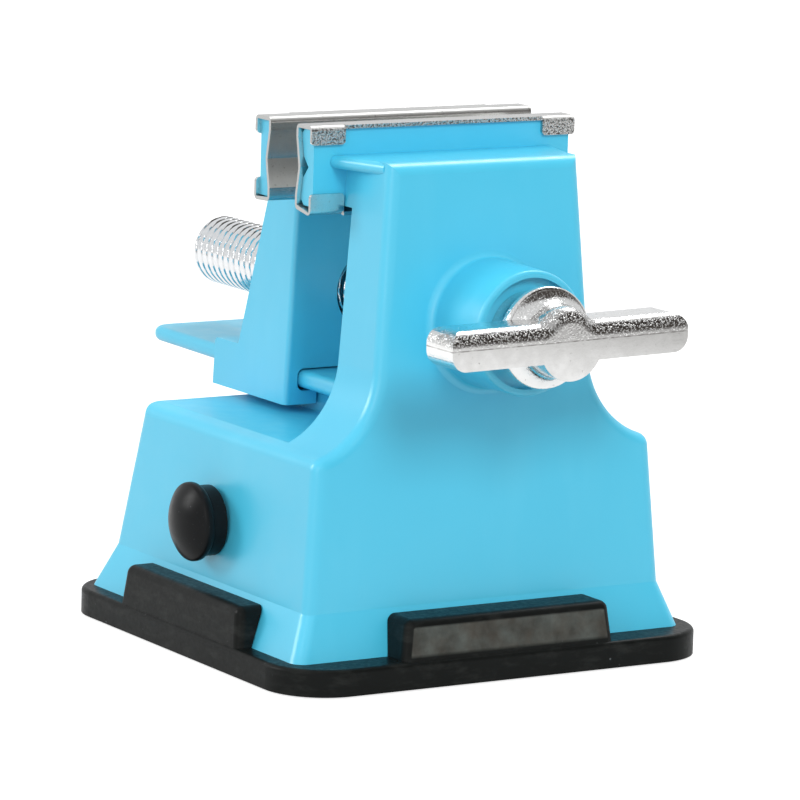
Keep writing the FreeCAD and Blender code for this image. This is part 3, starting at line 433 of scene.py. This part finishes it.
def floor():
    g = Finish("floor", Roughness=0.9, Emission_Color=WHITE)
    path = g.node("LightPath").outputs
    along = g.vector("DOT_PRODUCT", g.node("TexCoord").outputs["Object"], AWAY)["Value"]
    near = g.spread(along, *TABLE, 1.0, FLOOR_SHINE_FAR)
    shine = g.times(near, g.spread(along, *LEFT, FLOOR_SHINE, FLOOR_SHINE_LEFT))
    shiny = path["Is Glossy Ray"]
    far = g.times(shiny, g.math("SUBTRACT", 1.0, near))
    colour = g.mix(far, g.mix(g.noise(60.0), *FLOOR_GREYS), DIM)
    glow = g.math("MAXIMUM", g.times(path["Is Camera Ray"], FLOOR_SEEN), g.times(shiny, shine))
    g.set(Base_Color=colour, Emission_Strength=glow)
    data = bpy.data.meshes.new("floor")
    corners = [(x * FLOOR_HALF, y * FLOOR_HALF, 0) for x, y in ((-1, -1), (1, -1), (1, 1), (-1, 1))]
    data.from_pydata(corners, [], [(0, 1, 2, 3)])
    data.materials.append(g.material)
    made = bpy.data.objects.new("floor", data)
    made.location.z = -FLOOR_DROP
    scene.collection.objects.link(made)


def world():
    """White to the camera, plain soft light, and a dim side for the metal to reflect."""
    made = bpy.data.worlds.new("studio")
    made.use_nodes = True
    g = Graph(made.node_tree)
    path = g.node("LightPath").outputs
    seen = g.math("MAXIMUM", path["Is Camera Ray"], path["Is Transmission Ray"])
    way = g.node("TexCoord").outputs["Generated"]
    towards = g.vector("DOT_PRODUCT", way, Vector(DIM_SIDE).normalized())["Value"]
    dim = g.spread(towards, *DIM_EDGE, interpolation_type="SMOOTHSTEP")
    plain = g.mix(path["Is Glossy Ray"], AROUND, g.mix(dim, SHINE, DIM))
    g.put(g.mix(seen, plain, WHITE), g.tree.nodes["Background"].inputs["Color"])
    scene.world = made


LAMPS_AIM = (0, 0, 0.03)


def area_light(name, place, size, power, shines=True):
    """A lamp of a size in metres and a power in watts; one that doesn't shine isn't mirrored."""
    lamp = bpy.data.lights.new(name, "AREA")
    lamp.shape = "RECTANGLE"
    lamp.size, lamp.size_y = size
    lamp.energy = power
    made = bpy.data.objects.new(name, lamp)
    made.visible_glossy = shines
    made.location = place
    made.rotation_euler = (Vector(LAMPS_AIM) - Vector(place)).to_track_quat("-Z", "Y").to_euler()
    scene.collection.objects.link(made)


# The camera turns round the object's origin, and is then shifted sideways and up.
AZIMUTH, ELEVATION, ROLL = 58.527, 9.739, 1.574      # degrees; at azimuth 0 it looks along +Y
DISTANCE, SIDEWAYS, UP = 698.0, 2.194, 30.85         # millimetres
FOCAL_PX, FRAME_PX = 5215.0, 800.0                   # focal length in pixels of a frame this wide
SENSOR_WIDTH = 36.0


def camera():
    azimuth, elevation, roll = (math.radians(angle) for angle in (AZIMUTH, ELEVATION, ROLL))
    back = Vector((math.sin(azimuth) * math.cos(elevation),
                   -math.cos(azimuth) * math.cos(elevation), math.sin(elevation)))
    level = Vector((math.cos(azimuth), math.sin(azimuth), 0))
    upright = back.cross(level)
    right = level * math.cos(roll) + upright * math.sin(roll)
    up = upright * math.cos(roll) - level * math.sin(roll)
    data = bpy.data.cameras.new("camera")
    data.sensor_width = SENSOR_WIDTH
    data.lens = FOCAL_PX / FRAME_PX * data.sensor_width
    data.clip_start, data.clip_end = 0.05, 10.0
    made = bpy.data.objects.new("camera", data)
    place = (right * SIDEWAYS + up * UP + back * DISTANCE) * MM
    turn = Matrix((right, up, back)).transposed().to_4x4()
    made.matrix_world = Matrix.Translation(place) @ turn
    scene.collection.objects.link(made)
    scene.camera = made


floor()
world()
area_light("left", (-0.55, -0.8, 0.45), (0.35, 0.35), 3.4)
area_light("strip", (0.5, -0.8, 0.35), (0.08, 0.6), 0.9)
area_light("front", (0.85, -0.1, 0.65), (0.3, 0.3), 4.4, shines=False)
area_light("top", (-0.24, 0.46, 0.76), (0.35, 0.3), 2.4)
camera()
scene.view_settings.view_transform = "Standard"
